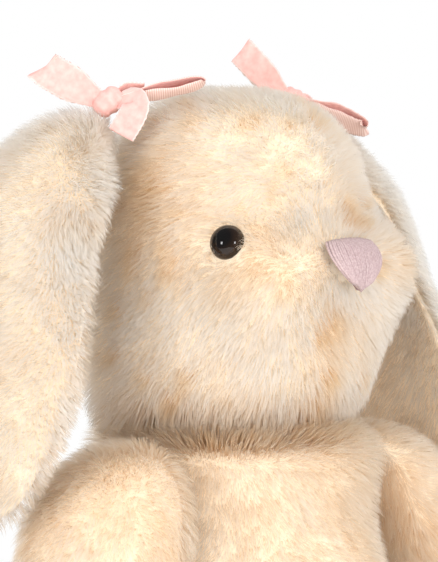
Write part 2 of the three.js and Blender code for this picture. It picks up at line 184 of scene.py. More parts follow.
def closed_rings(rings):
    """Points and faces of a closed skin from rings (rows, cols, 3) and a pole at each end."""
    rows, cols = rings.shape[:2]
    points = np.vstack([rings[0].mean(0)[None], rings.reshape(-1, 3), rings[-1].mean(0)[None]])
    at = lambda r, c: 1 + r * cols + c % cols
    last = len(points) - 1
    faces = [(0, at(0, c + 1), at(0, c)) for c in range(cols)]
    faces += [(at(r, c), at(r, c + 1), at(r + 1, c + 1), at(r + 1, c))
              for r in range(rows - 1) for c in range(cols)]
    faces += [(last, at(rows - 1, c), at(rows - 1, c + 1)) for c in range(cols)]
    return outward(points, faces)


def closed_slab(top, bottom):
    """Points and faces of a closed sheet between two grids (rows, cols, 3)."""
    rows, cols = top.shape[:2]
    points = np.vstack([top.reshape(-1, 3), bottom.reshape(-1, 3)])
    at = lambda r, c, low=0: low * rows * cols + r * cols + c
    faces = []
    end, edge = rows - 1, cols - 1
    for r in range(end):
        for c in range(edge):
            faces.append((at(r, c), at(r + 1, c), at(r + 1, c + 1), at(r, c + 1)))
            faces.append((at(r, c, 1), at(r, c + 1, 1), at(r + 1, c + 1, 1), at(r + 1, c, 1)))
        faces.append((at(r, 0), at(r, 0, 1), at(r + 1, 0, 1), at(r + 1, 0)))
        faces.append((at(r, edge), at(r + 1, edge), at(r + 1, edge, 1), at(r, edge, 1)))
    for c in range(edge):
        faces.append((at(0, c), at(0, c + 1), at(0, c + 1, 1), at(0, c, 1)))
        faces.append((at(end, c), at(end, c, 1), at(end, c + 1, 1), at(end, c + 1)))
    return outward(points, faces)


def triangles(faces):
    return np.array([(f[0], f[k], f[k + 1]) for f in faces for k in range(1, len(f) - 1)])


def outward(points, faces):
    """The same faces, turned round if the volume they enclose comes out negative."""
    t = points[triangles(faces)]
    if (t[:, 0] * np.cross(t[:, 1], t[:, 2])).sum() < 0:
        faces = [f[::-1] for f in faces]
    return points, faces


def face_normals(corner):
    """Each triangle's normal, as long as twice its area."""
    return np.cross(corner[:, 1] - corner[:, 0], corner[:, 2] - corner[:, 0])


def normals_of(points, tris):
    face = face_normals(points[tris])
    total = np.zeros_like(points)
    for k in range(3):
        np.add.at(total, tris[:, k], face)
    return unit(total)


def tube(line, beside, above, half_width, half_height):
    """Points and faces of a six-sided tube about a line, such as one stitch of thread."""
    turn = np.linspace(0, 2 * np.pi, 6, endpoint=False)[:, None]
    return closed_rings(line[:, None] + half_width * np.cos(turn) * beside[:, None]
                        + half_height * np.sin(turn) * above[:, None])


# ---- Materials ----
class Shader:
    """A node material with one Principled shader."""

    def __init__(self, name, **values):
        self.material = bpy.data.materials.new(name)
        self.material.use_nodes = True
        self.nodes, self.links = self.material.node_tree.nodes, self.material.node_tree.links
        self.main = self.nodes["Principled BSDF"]
        for socket, value in values.items():
            self.main.inputs[socket.replace("_", " ")].default_value = value

    def add(self, kind, links=(), **values):
        node = self.nodes.new(kind)
        for key, value in values.items():
            setattr(node, key, value)
        for socket, source in dict(links).items():
            if isinstance(source, bpy.types.NodeSocket):
                self.links.new(source, node.inputs[socket])
            else:
                node.inputs[socket].default_value = source
        return node

    def colours(self, factor, stops):
        node = self.add("ShaderNodeValToRGB", {"Fac": factor})
        elements = node.color_ramp.elements
        while len(elements) < len(stops):
            elements.new(0.5)
        for element, (place, colour) in zip(elements, stops):
            element.position, element.color = place, (*colour, 1)
        return node.outputs["Color"]

    def mix(self, factor, a, b):
        node = self.add("ShaderNodeMix", data_type="RGBA")
        for socket, source in ((0, factor), (6, a), (7, b)):
            if isinstance(source, bpy.types.NodeSocket):
                self.links.new(source, node.inputs[socket])
            else:
                node.inputs[socket].default_value = source if socket == 0 else (*source, 1)
        return node.outputs[2]

    def place(self):
        return self.add("ShaderNodeTexCoord").outputs["Object"]

    def grain(self, scale, **more):
        source = {"Vector": self.place(), "Scale": scale, **more}
        return self.add("ShaderNodeTexNoise", source).outputs["Fac"]

    def uv(self):
        return self.add("ShaderNodeUVMap", uv_map="OFBake").outputs["UV"]

    def split(self, vector):
        return self.add("ShaderNodeSeparateXYZ", {"Vector": vector}).outputs

    def bump(self, height, strength, distance):
        values = {"Height": height, "Strength": strength, "Distance": distance}
        node = self.add("ShaderNodeBump", values)
        self.links.new(node.outputs["Normal"], self.main.inputs["Normal"])

    def paint(self, colour):
        self.links.new(colour, self.main.inputs["Base Color"])
        return self.material


def pile_material(name):
    """Strands: u picks how tan the strand is, partly its own tone and partly painted shade in creases and
    hollows; v runs from its root to its tip.
    """
    s = Shader(name, Roughness=0.85, Sheen_Weight=0.25, Sheen_Roughness=0.5, Specular_IOR_Level=0.15)
    tan_and_shade, height, _ = s.split(s.uv())
    # Both ramps run darker and warmer towards the root: partly the fibre's own tone, partly painted shade
    # deep in the pile.
    cool = s.colours(height, [(0.0, (0.95, 0.86, 0.74)), (0.4, (0.965, 0.93, 0.88)),
                              (0.95, (0.975, 0.955, 0.93))])
    tan = s.colours(height, [(0.0, (0.86, 0.56, 0.29)), (0.5, (0.92, 0.72, 0.47)),
                             (1.0, (0.95, 0.85, 0.69))])
    colour = s.mix(tan_and_shade, cool, tan)
    s.paint(colour)
    glow = s.add("ShaderNodeBsdfTranslucent", {"Color": colour})
    lit = s.add("ShaderNodeMixShader", {0: 0.66, 1: s.main.outputs[0], 2: glow.outputs[0]})
    clear = s.add("ShaderNodeBsdfTransparent")
    soft = s.add("ShaderNodeMixShader", {0: 0.3, 1: lit.outputs[0], 2: clear.outputs[0]})
    s.links.new(soft.outputs[0], s.nodes["Material Output"].inputs["Surface"])
    return s.material


def backing_material():
    s = Shader("knit_backing", Roughness=0.95, Specular_IOR_Level=0.1)
    knit = s.grain(900.0, Detail=3.0)
    s.bump(knit, 0.6, 0.0006)
    # The knit is coloured tanner than the pile: partly its own colour, partly painted shade where it
    # shows between the roots.
    return s.paint(s.colours(knit, [(0.3, (0.84, 0.69, 0.52)), (0.7, (0.89, 0.77, 0.61))]))


def grained_material(name, low, high, scale):
    """Cloth, fibre or moulded nylon, which differ in their two colours and their grain."""
    s = Shader(name, Roughness=1.0, Specular_IOR_Level=0.1)
    cloud = s.grain(scale, Detail=6.0, Roughness=0.7)
    s.bump(cloud, 0.8, 0.001)
    return s.paint(s.colours(cloud, [(0.3, low), (0.7, high)]))


CREAM = pile_material("cream_pile")
BACKING = backing_material()
FIBRE = grained_material("polyester_fibre", (0.80, 0.78, 0.74), (0.95, 0.94, 0.91), 260.0)
SEAM_THREAD = grained_material("seam_thread", (0.84, 0.70, 0.54), (0.93, 0.84, 0.70), 1800.0)
WASHER = grained_material("washer_nylon", (0.70, 0.70, 0.68), (0.82, 0.82, 0.80), 900.0)
PELLET_CLOTH = grained_material("pellet_cloth", (0.72, 0.68, 0.60), (0.88, 0.85, 0.79), 700.0)


# ---- Pile ----
def ask(rule, points, normals):
    """A rule's value at each point: a function of the points and their normals, or one number."""
    return rule(points, normals) if callable(rule) else np.full(len(points), float(rule))


def scatter_roots(points, tris, count, density, rng):
    """Roots spread over a skin, and the skin's normal at each."""
    corner = points[tris]
    normals = normals_of(points, tris)
    area = np.linalg.norm(face_normals(corner), axis=1)
    weight = area * ask(density, corner.mean(1), unit(normals[tris].mean(1)))
    face = rng.choice(len(tris), count, p=weight / weight.sum())
    a, b = rng.random((2, count))
    flip = a + b > 1
    a, b = np.where(flip, 1 - a, a), np.where(flip, 1 - b, b)
    share = np.stack([1 - a - b, a, b], 1)[:, :, None]
    return (corner[face] * share).sum(1), unit((normals[tris[face]] * share).sum(1))


def bend_strands(root, n, comb, length, lean, rng):
    """Strands that leave the skin at the first lean from upright and bend over to the second."""
    count = len(root)
    flow = noise(root, 14, 11, 3) * 0.55 + noise(root, 5, 12, 3) * 0.3
    way = across(comb(root, n) + flow + rng.normal(0, 0.22, (count, 3)), n)
    uneven = 1 + 0.16 * noise(root, 9, 13)[:, 0] + rng.normal(0, 0.08, count)
    long = ask(length, root, n) * uneven
    first = np.radians(lean[0] + rng.normal(0, 7, count))
    last = np.radians(lean[1] + 12 * noise(root, 8, 14)[:, 0] + rng.normal(0, 6, count))
    last = np.maximum(last, first + 0.1)
    strands = np.zeros((count, len(LEVELS), 3))
    for k, t in enumerate(LEVELS):
        angle = first + (last - first) * t
        up = (np.sin(angle) - np.sin(first)) / (last - first)
        along = (np.cos(first) - np.cos(angle)) / (last - first)
        strands[:, k] = root - ROOT_DEPTH * n + (long * up)[:, None] * n + (long * along)[:, None] * way
    return strands


def gather_locks(strands, root, rng):
    """Draws the tips together, first into wide locks and then into fine ones.

    Returns the strands and, for each, the strand that leads its fine lock."""
    count = len(root)
    for strands_to_a_lock, pull in LOCKS:
        leaders = rng.choice(count, max(1, count // strands_to_a_lock), replace=False)
        tree = KDTree(len(leaders))
        for i, at in enumerate(leaders):
            tree.insert(root[at], i)
        tree.balance()
        leader = leaders[np.fromiter((tree.find(p)[1] for p in root), int, count)]
        apart = (root - root[leader])[:, None]
        toward = strands[leader] - strands[leader][:, :1] + 0.35 * apart + root[leader][:, None]
        strands = strands + (toward - strands) * (pull * LEVELS[None, :, None] ** 1.3)
    return strands, leader


def flatten_strands(strands, n, width, rng):
    """Flat strands: two points at each level below the tip, one there, and the normals they show."""
    count = len(strands)
    tangent = unit(np.gradient(strands, axis=1))
    side = unit(np.cross(tangent, n[:, None]))
    out = np.cross(side, tangent)
    roll = rng.uniform(-0.9, 0.9, (count, 1, 1))
    broad = side * np.cos(roll) + out * np.sin(roll)
    half = 0.5 * width * (1 + rng.normal(0, 0.15, (count, 1, 1))) * TAPER[None, :, None]
    reach = broad[:, :3] * half
    pairs = np.stack([strands[:, :3] - reach, strands[:, :3] + reach], 2).reshape(count, 6, 3)
    facing = unit(0.85 * n[:, None] + 0.15 * np.cross(broad, tangent))
    return np.concatenate([pairs, strands[:, 3:]], 1), facing[:, LEVEL_OF_POINT]


def grow(name, skin, points, tris, count, rng, comb, length=8, width=0.27, lean=(26, 78),
         density=1, tan_and_shade=0, floor=False):
    """Covers a skin with strands, in as many pieces as needed, each parented to the skin.

    comb is a function of the roots' places and normals; length, density and how tan the strands are
    (their own tone and painted shade in creases and hollows) may be."""
    root, n = scatter_roots(points, tris, count, density, rng)
    strands = bend_strands(root, n, comb, length, lean, rng)
    strands, leader = gather_locks(strands, root, rng)
    if floor:
        strands[:, :, 2] = np.maximum(strands[:, :, 2], 0.25 + 0.4 * rng.random((count, 1)))
    verts, shading = flatten_strands(strands, n, width, rng)
    # Each lock's tone differs at random; the value added to it from the piece holds painted shade in
    # creases and hollows as well as tone.
    strand_tan_and_shade = 0.07 + 0.20 * noise(root, 12, 15)[:, 0] + 0.10 * noise(root[leader], 1.5, 16)[:, 0]
    strand_tan_and_shade = strand_tan_and_shade + ask(tan_and_shade, root, n)
    strand_tan_and_shade = np.clip(strand_tan_and_shade + rng.normal(0, 0.08, count), 0.01, 0.99)

    order = np.argsort(root[:, 1], kind="stable")
    parts = math.ceil(count / MOST_STRANDS_IN_A_PIECE)
    for part, chosen in enumerate(np.array_split(order, parts)):
        label = name if parts == 1 else f"{name}_{part + 1}"
        strand_mesh(label, skin, verts[chosen], shading[chosen], strand_tan_and_shade[chosen])


def strand_mesh(name, skin, verts, shading, strand_tan_and_shade):
    count, corners = len(verts), len(CORNERS_OF_STRAND)
    loops = (np.arange(count)[:, None] * 7 + CORNERS_OF_STRAND).ravel()
    starts = (np.arange(count)[:, None] * corners + [0, 4, 8]).ravel()
    mesh = new_mesh(name, verts.reshape(-1, 3), loops, starts)
    height = LEVELS[LEVEL_OF_POINT][CORNERS_OF_STRAND] * 0.98 + 0.01
    write_uv(mesh, np.stack([np.repeat(strand_tan_and_shade, corners), np.tile(height, count)], 1))
    mesh.materials.append(CREAM)
    mesh.normals_split_custom_set_from_vertices(shading.reshape(-1, 3).astype(np.float32))
    obj = link_object(name, mesh)
    obj.parent = skin


def cover(name, body, points, faces, replaced, fill=0.8):
    """The knitted backing of a padded part, which stands for its CAD nodes."""
    obj = make_object(name, points, faces, BACKING)
    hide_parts(*replaced)
    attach(obj, body)
    return obj


# ---- Head ----
def head_reach(polar, azimuth):
    """Distance from the middle of the head to its surface; azimuth is 0 at the nose."""
    up, out = np.cos(np.radians(polar)), np.sin(np.radians(polar))
    ahead = np.cos(np.radians(azimuth))
    side = np.sin(np.radians(azimuth)) / (HEAD["half_width"] - HEAD["jowl_spread"] * up)
    along = ahead / np.where(ahead > 0, HEAD["front"], HEAD["back"])
    power = np.where(up > 0, HEAD["crown_power"], HEAD["jowl_power"])
    level = np.abs(up) / np.where(up > 0, HEAD["crown"], HEAD["jowl"])
    reach = ((out * np.hypot(side, along)) ** power + level ** power) ** (-1 / power)
    turned = lambda centre: (azimuth - centre + 540) % 360 - 180
    rise = np.where(polar < MUZZLE["polar"], MUZZLE["above"], MUZZLE["below"])
    cheeks = MUZZLE["height"] * bell(polar - MUZZLE["polar"], rise)
    for centre in (MUZZLE["azimuth"], -MUZZLE["azimuth"]):
        reach = reach + cheeks * bell(turned(centre), MUZZLE["spread"])
    middle = bell(turned(0), NOSE_BUMP["spread"])
    return reach + NOSE_BUMP["height"] * middle * bell(polar - NOSE_BUMP["polar"], NOSE_BUMP["rise"])


def head_point(polar, azimuth, inset=0.0):
    reach = head_reach(polar, azimuth) - inset
    out = np.sin(np.radians(polar))
    a = np.radians(azimuth)
    return np.stack([reach * out * np.sin(a), -reach * out * np.cos(a),
                     HEAD["height"] + reach * np.cos(np.radians(polar))], -1)


def head_axis(polar, azimuth):
    """The direction the head's surface faces at one place."""
    here = head_point(np.array([polar]), np.array([azimuth]))
    down = head_point(np.array([polar + 3.0]), np.array([azimuth])) - here
    round_ = head_point(np.array([polar]), np.array([azimuth + 3.0])) - here
    n = unit(np.cross(round_, down))[0]
    return here[0], n if n @ (here[0] - [0, 0, HEAD["height"]]) > 0 else -n


def eye_seat(side):
    at, n = head_axis(EYE["polar"], side * EYE["azimuth"])
    return at - n * EYE["sink"], n


def distance(p, place):
    return np.linalg.norm(p - place, axis=1)


def make_head():
    polar, azimuth = np.meshgrid(np.linspace(1, 179, 110), np.arange(0, 360, 2.2), indexing="ij")
    jowls = bell(polar - 138, 20) * (bell(azimuth - 125, 38) + bell(azimuth - 235, 38))
    points, faces = closed_rings(head_point(polar, azimuth, BACKING_INSET - 5 * jowls))
    skin = cover("head_cover_skin", "head", points, faces, ["head_cover"], fill=0.95)
    eyes = [eye_seat(side)[0] for side in SIDES.values()]
    nose = head_point(np.array([89.0]), np.array([0.0]))[0]

    def from_eye(p):
        return np.minimum(*[distance(p, e) for e in eyes])

    def under_nose(p):
        """Where the embroidery lies, a little smaller all round."""
        z = (p[:, 2] - NOSE["bottom"]) / (NOSE["top"] - NOSE["bottom"])
        half = np.clip(np.sin(np.pi * (0.06 + 0.62 * np.clip(z, 0, 1))), 0, 1) ** 0.8 * NOSE["half_width"]
        return (np.abs(p[:, 0]) < half - 2.2) & (z > 0.05) & (z < 0.93) & (p[:, 1] < -30)

    def under_eye(p):
        """How near a root is to the lower rim of an eye, where the hairs stand up over it."""
        near = [bell(distance(p, e), 11) * ramp(e[2] - p[:, 2], 0, 4) * ramp(p[:, 1] - e[1], -3, 2)
                for e in eyes]
        return near[0] + near[1]

    def comb(p, n):
        """Away from the nose and down, back over the crown, and parted round each eye."""
        near = bell(distance(p, nose), 34)[:, None]
        crown = ramp(p[:, 2], 205, 235)[:, None]
        down = np.array([0, 0, -1.0]) * (1 - 0.7 * crown) + np.array([0, 0.45, 0.0])
        around = np.zeros_like(p)
        for e in eyes:
            parting = 1.1 * bell(distance(p, e), 12) - 3.2 * under_eye(p)
            around += unit(p - e) * (parting * (distance(p, e) < 30))[:, None]
        return unit(p - nose) * near * 1.3 + (1 - near) * down + around

    def length(p, n):
        under_jaw = 5 * ramp(p[:, 2], 138, 124)
        at_eye = 1 - 0.5 * bell(from_eye(p), 10.5) * (1 - under_eye(p))
        return (7.6 - 2.4 * bell(distance(p, nose), 20) + under_jaw) * at_eye

    def density(p, n):
        in_neck = (p[:, 2] < 126) & (np.hypot(p[:, 0], p[:, 1]) < 22)
        hidden = (from_eye(p) < EYE["radius"] + 0.4) | under_nose(p) | in_neck
        return np.where(hidden, 0.0, 1 + 0.5 * (p[:, 1] < 10) + 1.1 * bell(distance(p, nose), 24))

    # How tan each strand is: painted shade round the eyes, in the valley below the nose, under the jaw,
    # at the ear roots and in the dimple below each eye; the tan partings come at random and are the fur's
    # own tone.
    def tan_and_shade(p, n):
        mirrored = np.abs(p)
        valley = bell(p[:, 0], 6) * ramp(p[:, 1], 0, -40) * ramp(p[:, 2], 172, 160)
        ear_root = (mirrored * [1, 0, 1] + p * [0, 1, 0] - [46, -6, 206]) / [13, 12, 26]
        below_eye = (mirrored - [36, 52, 176]) / [16, 14, 7]
        partings = ramp(noise(p, 7, 17)[:, 0], 0.3, 0.75) * (p[:, 1] < 15)
        return (0.35 * bell(from_eye(p), 13) + 0.45 * valley + 0.35 * ramp(p[:, 2], 138, 122)
                + 0.85 * bell(distance(ear_root, 0), 1) + 0.45 * bell(distance(below_eye, 0), 1)
                + 0.55 * partings)

    grow("head_pile", skin, points, triangles(faces), STRANDS["head"], np.random.default_rng(21),
         comb, length, lean=(20, 66), density=density, tan_and_shade=tan_and_shade)


def nose_grid(lift, rows, cols):
    """Points over the nose, from its lower tip to its straight upper edge."""
    s, t = np.meshgrid(np.linspace(0, 1, rows), np.linspace(-1, 1, cols), indexing="ij")
    z = NOSE["bottom"] + (NOSE["top"] - NOSE["bottom"]) * s
    x = t * NOSE["half_width"] * np.sin(np.pi * (0.08 + 0.55 * s)) ** 0.85
    sag = 2.5 * (1 - np.abs(t)) * (1 - s) - 1.0 * (1 - t ** 2) * s
    polar = 90 - np.degrees(np.arcsin((z - sag - HEAD["height"]) / 60))
    azimuth = np.degrees(np.arcsin(x / 58))
    edge = np.minimum(1 - np.abs(t) ** 3, np.minimum(1, 5 * np.minimum(s + 0.05, 1.05 - s)))
    return head_point(polar, azimuth, -(lift * np.clip(edge, 0, 1) ** 0.6 + 5.2 * (1 - s)) - 0.6)


def make_nose():
    """A pad of cloth, coloured darker than the floss as painted shade in the grooves between the
    stitches, with the satin stitches laid side by side over it.
    """
    s = Shader("satin_floss", Roughness=0.26, Sheen_Weight=0.12, Sheen_Roughness=0.35)
    twist = s.grain(1500.0, Detail=2.0)
    s.bump(twist, 0.12, 0.0001)
    s.paint(s.colours(twist, [(0.3, (0.42, 0.30, 0.30)), (0.7, (0.58, 0.44, 0.44))]))
    # The pad is coloured darker than the floss: painted shade in the grooves between the stitches.
    groove_shade_pad = grained_material("nose_padding_painted_shade", (0.30, 0.19, 0.20), (0.40, 0.28, 0.29), 1500.0)
    points, faces = closed_slab(nose_grid(1.7, 24, 24), nose_grid(-1.4, 24, 24))
    pad = make_object("nose_pad", points, faces, groove_shade_pad)
    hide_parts("nose_embroidery")
    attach(pad, "head")
    stitches, rng = 30, np.random.default_rng(24)
    lines = nose_grid(2.25, 18, stitches)
    threads = []
    for k in range(stitches):
        line = lines[:, k] + rng.normal(0, 0.05, 3)
        along = unit(np.gradient(line, axis=0))
        above = across(np.tile([0.0, -1.0, 0.2], (len(line), 1)), along)
        before, after = lines[:, max(k - 1, 0)], lines[:, min(k + 1, stitches - 1)]
        gap = np.linalg.norm(after - before, axis=1) / 2
        wide = np.clip(0.47 * gap, 0.13, 0.6)[:, None, None]
        threads.append(tube(line, np.cross(along, above), above, wide, 0.6))
    stitching = make_object("nose_stitches", *joined(threads), s.material)
    stitching.parent = pad


def make_eye(name, side):
    """A glossy dome with a dark pupil and a deep brown rim, on its shank; v is 0 at its middle."""
    s = Shader("safety_eye_" + name, Roughness=0.05, Specular_IOR_Level=0.45)
    _, outwards, _ = s.split(s.uv())
    s.paint(s.colours(outwards, [(0.0, (0.002, 0.002, 0.002)), (0.50, (0.003, 0.002, 0.002)),
                                 (0.66, (0.010, 0.005, 0.003)), (0.88, (0.022, 0.011, 0.006)),
                                 (1.0, (0.012, 0.007, 0.004))]))
    at, out = eye_seat(side)
    across_eye = unit(np.cross([0, 0, 1.0], out))
    up = np.cross(out, across_eye)
    radius = EYE["radius"]
    shank = [(1.6, -9.6), (1.6, 0)]
    back = [(radius * r, h) for r, h in ((0.5, -0.1), (0.93, -0.1), (1.0, 0.35))]
    dome = [(radius * math.cos(a), 0.6 + 5.2 * math.sin(a)) for a in np.linspace(0.06, 1.5, 20)]
    turn = np.linspace(0, 2 * np.pi, 48, endpoint=False)[:, None]
    ring = np.cos(turn) * across_eye + np.sin(turn) * up
    points, faces = closed_rings(np.array([at + h * out + r * ring for r, h in shank + back + dome]))
    eye = make_object(f"safety_eye_{name}", points, faces, s.material)
    far = np.linalg.norm(np.cross(points - at, out), axis=1) / radius
    v = np.clip(far[points_at_corners(eye.data)], 0.01, 0.99)
    write_uv(eye.data, np.column_stack([np.full(len(v), 0.5), v]))
    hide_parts(f"eye_{name}")
    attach(eye, "head")


# ---- Bows ----
def velvet_material(name, low, high):
    """u runs along the ribbon; v is 0 to 0.45 across its pile and 0.55 to 1 across its woven back."""
    s = Shader(name, Roughness=0.6, Sheen_Weight=0.3, Sheen_Roughness=0.3, Specular_IOR_Level=0.3)
    uv = s.uv()
    _, v, _ = s.split(uv)
    nap = s.grain(420.0, Detail=3.0)
    pile = s.colours(nap, [(0.3, low), (0.7, high)])
    selvedge = (0.86, 0.69, 0.65)
    grey = lambda value: (value, value, value)
    at_edge = s.colours(v, [(0.0, grey(1)), (0.03, grey(0)), (0.42, grey(0)), (0.45, grey(1)),
                            (0.62, grey(0.25)), (1.0, grey(0.6))])
    ribs = s.add("ShaderNodeTexWave", {"Vector": uv, "Scale": 26.0, "Distortion": 0.4},
                 bands_direction="X")
    woven = s.mix(ribs.outputs["Fac"], (0.66, 0.42, 0.36), (0.86, 0.66, 0.60))
    is_back = s.colours(v, [(0.49, grey(0)), (0.51, grey(1))])
    s.bump(nap, 0.5, 0.0003)
    return s.paint(s.mix(is_back, s.mix(at_edge, pile, selvedge), woven))


def ribbon_mesh(centre, wide, half):
    """A closed strip about a centre line; wide is the unit direction across it at each point."""
    cols = 11
    t = np.linspace(-1, 1, cols)
    along = unit(np.gradient(centre, axis=0))
    wide = unit(wide - (wide * along).sum(1, keepdims=True) * along)
    up = np.cross(along, wide)
    length = np.r_[0, np.cumsum(np.linalg.norm(np.diff(centre, axis=0), axis=1))]
    scallop = 1 + 0.035 * np.sin(length * 5.2)[:, None] * (np.abs(t) > 0.95)
    sag = 0.5 * t[None] ** 2 - 0.25 * np.cos(length / 2.3)[:, None] * t[None]
    aside = (t[None] * scallop * half[:, None])[..., None] * wide[:, None]
    body = centre[:, None] + aside + sag[..., None] * up[:, None]
    deep = (0.5 * RIBBON["thick"] * np.clip(1.15 - t ** 6, 0.15, 1))[None, :, None] * up[:, None]
    points, faces = closed_slab(body + deep, body - deep)
    rows = len(centre)
    u = np.repeat(length / length[-1], cols)
    v = np.tile((t + 1) / 2, rows)
    uv = np.vstack([np.column_stack([u, 0.45 * v]), np.column_stack([u, 0.55 + 0.45 * v])])
    return points, faces, uv


def ribbon_object(name, strips, material, body, replaced):
    points, faces = joined([(strip_points, strip_faces) for strip_points, strip_faces, _ in strips])
    obj = make_object(name, points, faces, material)
    uv = np.vstack([strip_uv for _, _, strip_uv in strips])
    write_uv(obj.data, np.clip(uv[points_at_corners(obj.data)], 0.002, 0.998))
    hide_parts(replaced)
    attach(obj, body)


def loop_strip(knot, reach, wide_tip, wide_knot, opening, height, half):
    """A ribbon that leaves the knot, turns at the end of reach and comes back."""
    a = np.linspace(0.06, 2 * np.pi - 0.06, 72)
    out = ((1 - np.cos(a)) / 2) ** 0.8
    lift = np.sin(a) * np.sqrt(out)
    centre = knot + out[:, None] * reach + (height * lift)[:, None] * opening
    wide = (1 - out)[:, None] * wide_knot + out[:, None] * wide_tip
    pinch = RIBBON["pinch"]
    return ribbon_mesh(centre, unit(wide), half * (pinch + (1 - pinch) * ramp(out, 0.0, 0.6)))


def tail_strip(knot, line, wide, half=RIBBON["half"]):
    """A ribbon that leaves the knot along a line and is cut off at its end."""
    centre = knot + smooth_line(line, 30)
    t = np.linspace(0, 1, 30)
    w = unit((1 - t)[:, None] * wide[0] + t[:, None] * wide[1])
    return ribbon_mesh(centre, w, half * (0.6 + 0.4 * ramp(t, 0, 0.5)))


def knot_piece(at, along, over, deep):
    """The wrap that pinches the loops, with its folds; all of it shows the velvet side."""
    t, a = np.meshgrid(np.linspace(0.03, 0.97, 26), np.linspace(0, 2 * np.pi, 44, endpoint=False),
                       indexing="ij")
    folds = 1 + 0.07 * np.sin(9 * t * np.pi + 1.2 * np.sin(a)) * np.sin(np.pi * t)
    r = np.sin(np.pi * t) ** 0.55 * folds
    rings = (at + (5.6 * np.cos(np.pi * t))[..., None] * along + (4.3 * r * np.cos(a))[..., None] * over
             + (3.6 * r * np.sin(a))[..., None] * deep)
    points, faces = closed_rings(rings)
    return points, faces, np.full((len(points), 2), 0.22)


def make_bow(side, pink, knot, wrap, loops, tails):
    """One bow, sewn to the head at its knot.

    wrap is the knot's three axes. A loop is its start, its reach, the ribbon's cross direction at its
    tip and at the knot, the way it opens, how far, and half its width. A tail is its line from the
    knot, the cross direction at its two ends, and half its width if it isn't the usual one."""
    parts = {"loops": [loop_strip(knot + start, *rest) for start, *rest in loops],
             "knot": [knot_piece(knot, *wrap)],
             "tails": [tail_strip(knot, *tail) for tail in tails]}
    for part, strips in parts.items():
        ribbon_object(f"bow_{side}_velvet_{part}", strips, pink, "head", f"bow_{side}_{part}")


def make_bows():
    pink = velvet_material("velvet_pink", (0.74, 0.38, 0.34), (0.84, 0.50, 0.45))
    # The bows are drawn as they look from the front right corner: right, up and nearer.
    right, up, near = np.array([0.707, -0.707, 0]), np.array([0, 0, 1.0]), np.array([-0.707, -0.707, 0])
    v = lambda to_right, to_up, to_near: to_right * right + to_up * up + to_near * near

    # One loop out over the ear, one edge-on over the head, and a tail in front.
    make_bow(
        "right", pink, np.array([-46.0, 13, 232.2]),
        wrap=(unit(v(0.75, 0.65, 0)), unit(v(-0.65, 0.75, 0)), near),
        loops=[(v(-2, 0, 0), v(-20, 11.5, 1), v(-0.86, -0.5, 0), v(-0.5, -0.85, 0), near, 1.7, 6.2),
               (v(2, 0.5, 0), v(31, 6.5, -2), v(0, 0.25, 0.95), v(0, 0.6, 0.8), up, 2.2, 4.2)],
        tails=[([v(3, 0, 1), v(9, 1, 3), v(9, -3.5, 5), v(4.5, -11.5, 7)],
                (v(0.5, 0.8, 0), v(1, -0.35, 0)), 4.8),
               ([v(2, 0, -2), v(6, 3, -4), v(12, 3.5, -5)], (v(0, 1, 0.3), v(0, 0.7, 0.8)))])

    # One loop stands over the head, the other lies on the ear, and the tails are behind.
    make_bow(
        "left", pink, np.array([46.0, 13, 234]),
        wrap=(unit(v(0.8, -0.5, 0)), unit(v(0.5, 0.8, 0)), near),
        loops=[(v(-2, 0, 0), v(-17, 18, 2), v(-0.62, -0.78, 0), v(-0.9, -0.4, 0), near, 3.0, 5.2),
               (v(2, 0, 0), v(24, -10, 4), v(0, 0.66, 0.75), v(0, 0.8, 0.6), unit(v(0.4, 1, 0)), 2.0,
                4.6)],
        tails=[([v(-1, 0, -1), v(2, -0.5, -8), v(4, -1, -14)], (v(0.3, 1, 0), right)),
               ([v(-2, 0, -3), v(-8, 1, -7), v(-14, 2, -8)], (v(0, 1, -0.3), v(0, 0.7, -0.8)))])


# ---- Torso and limbs ----
def torso_rings(inset, rows, cols, collar):
    """The torso's skin, from the middle of its seat up to the neck, widened below the neck."""
    seat = np.column_stack([np.linspace(1, TORSO_SIDE[0][0], 10)[:-1], np.zeros(9)])
    neck = np.column_stack([np.linspace(TORSO_SIDE[-1][0], 1, 5)[1:], np.full(4, TORSO_HEIGHT)])
    outline = np.vstack([seat, smooth_line(TORSO_SIDE, rows), neck])
    r = outline[:, 0] * (1 - inset / 52) + collar * bell(outline[:, 1] - 116, 22) * (outline[:, 0] > 20)
    z = inset * 0.6 + outline[:, 1] * (TORSO_HEIGHT - 0.6 * inset) / TORSO_HEIGHT
    forward = 3 * np.sin(np.pi * outline[:, 1] / TORSO_HEIGHT)
    a = np.linspace(0, 2 * np.pi, cols, endpoint=False)
    return np.stack([r[:, None] * np.sin(a), -1.02 * r[:, None] * np.cos(a) - forward[:, None],
                     np.repeat(z[:, None], cols, 1)], -1)


def make_torso():
    points, faces = closed_rings(torso_rings(BACKING_INSET, 70, 120, collar=9.5))
    skin = cover("torso_cover_skin", "torso", points, faces, ["torso_cover"], fill=0.8)

    def comb(p, n):
        outwards = 0.35 + 0.9 * ramp(p[:, 2], 111, 113)[:, None]
        return np.array([0, 0, -1.0]) + outwards * unit(p * [1, 1, 0])

    def density(p, n):
        under_seat_panel = (p[:, 2] < 3) & (np.hypot(p[:, 0], p[:, 1]) < 35)
        chest = 1.2 * ramp(p[:, 2], 50, 75) * (p[:, 1] < 20)
        return np.where(under_seat_panel, 0.0, 0.6 + chest + 1.0 * ramp(p[:, 2], 100, 110))

    # The strands are tan all over as their own tone, and tanner at the very top under the chin as painted
    # shade in the crease below the head.
    grow("torso_pile", skin, points, triangles(faces), STRANDS["torso"], np.random.default_rng(22), comb,
         length=lambda p, n: 8.0 + 4.0 * ramp(p[:, 2], 104, 113), lean=(14, 62), density=density,
         tan_and_shade=lambda p, n: 0.36 + 0.4 * ramp(p[:, 2], 112, 116), floor=True)


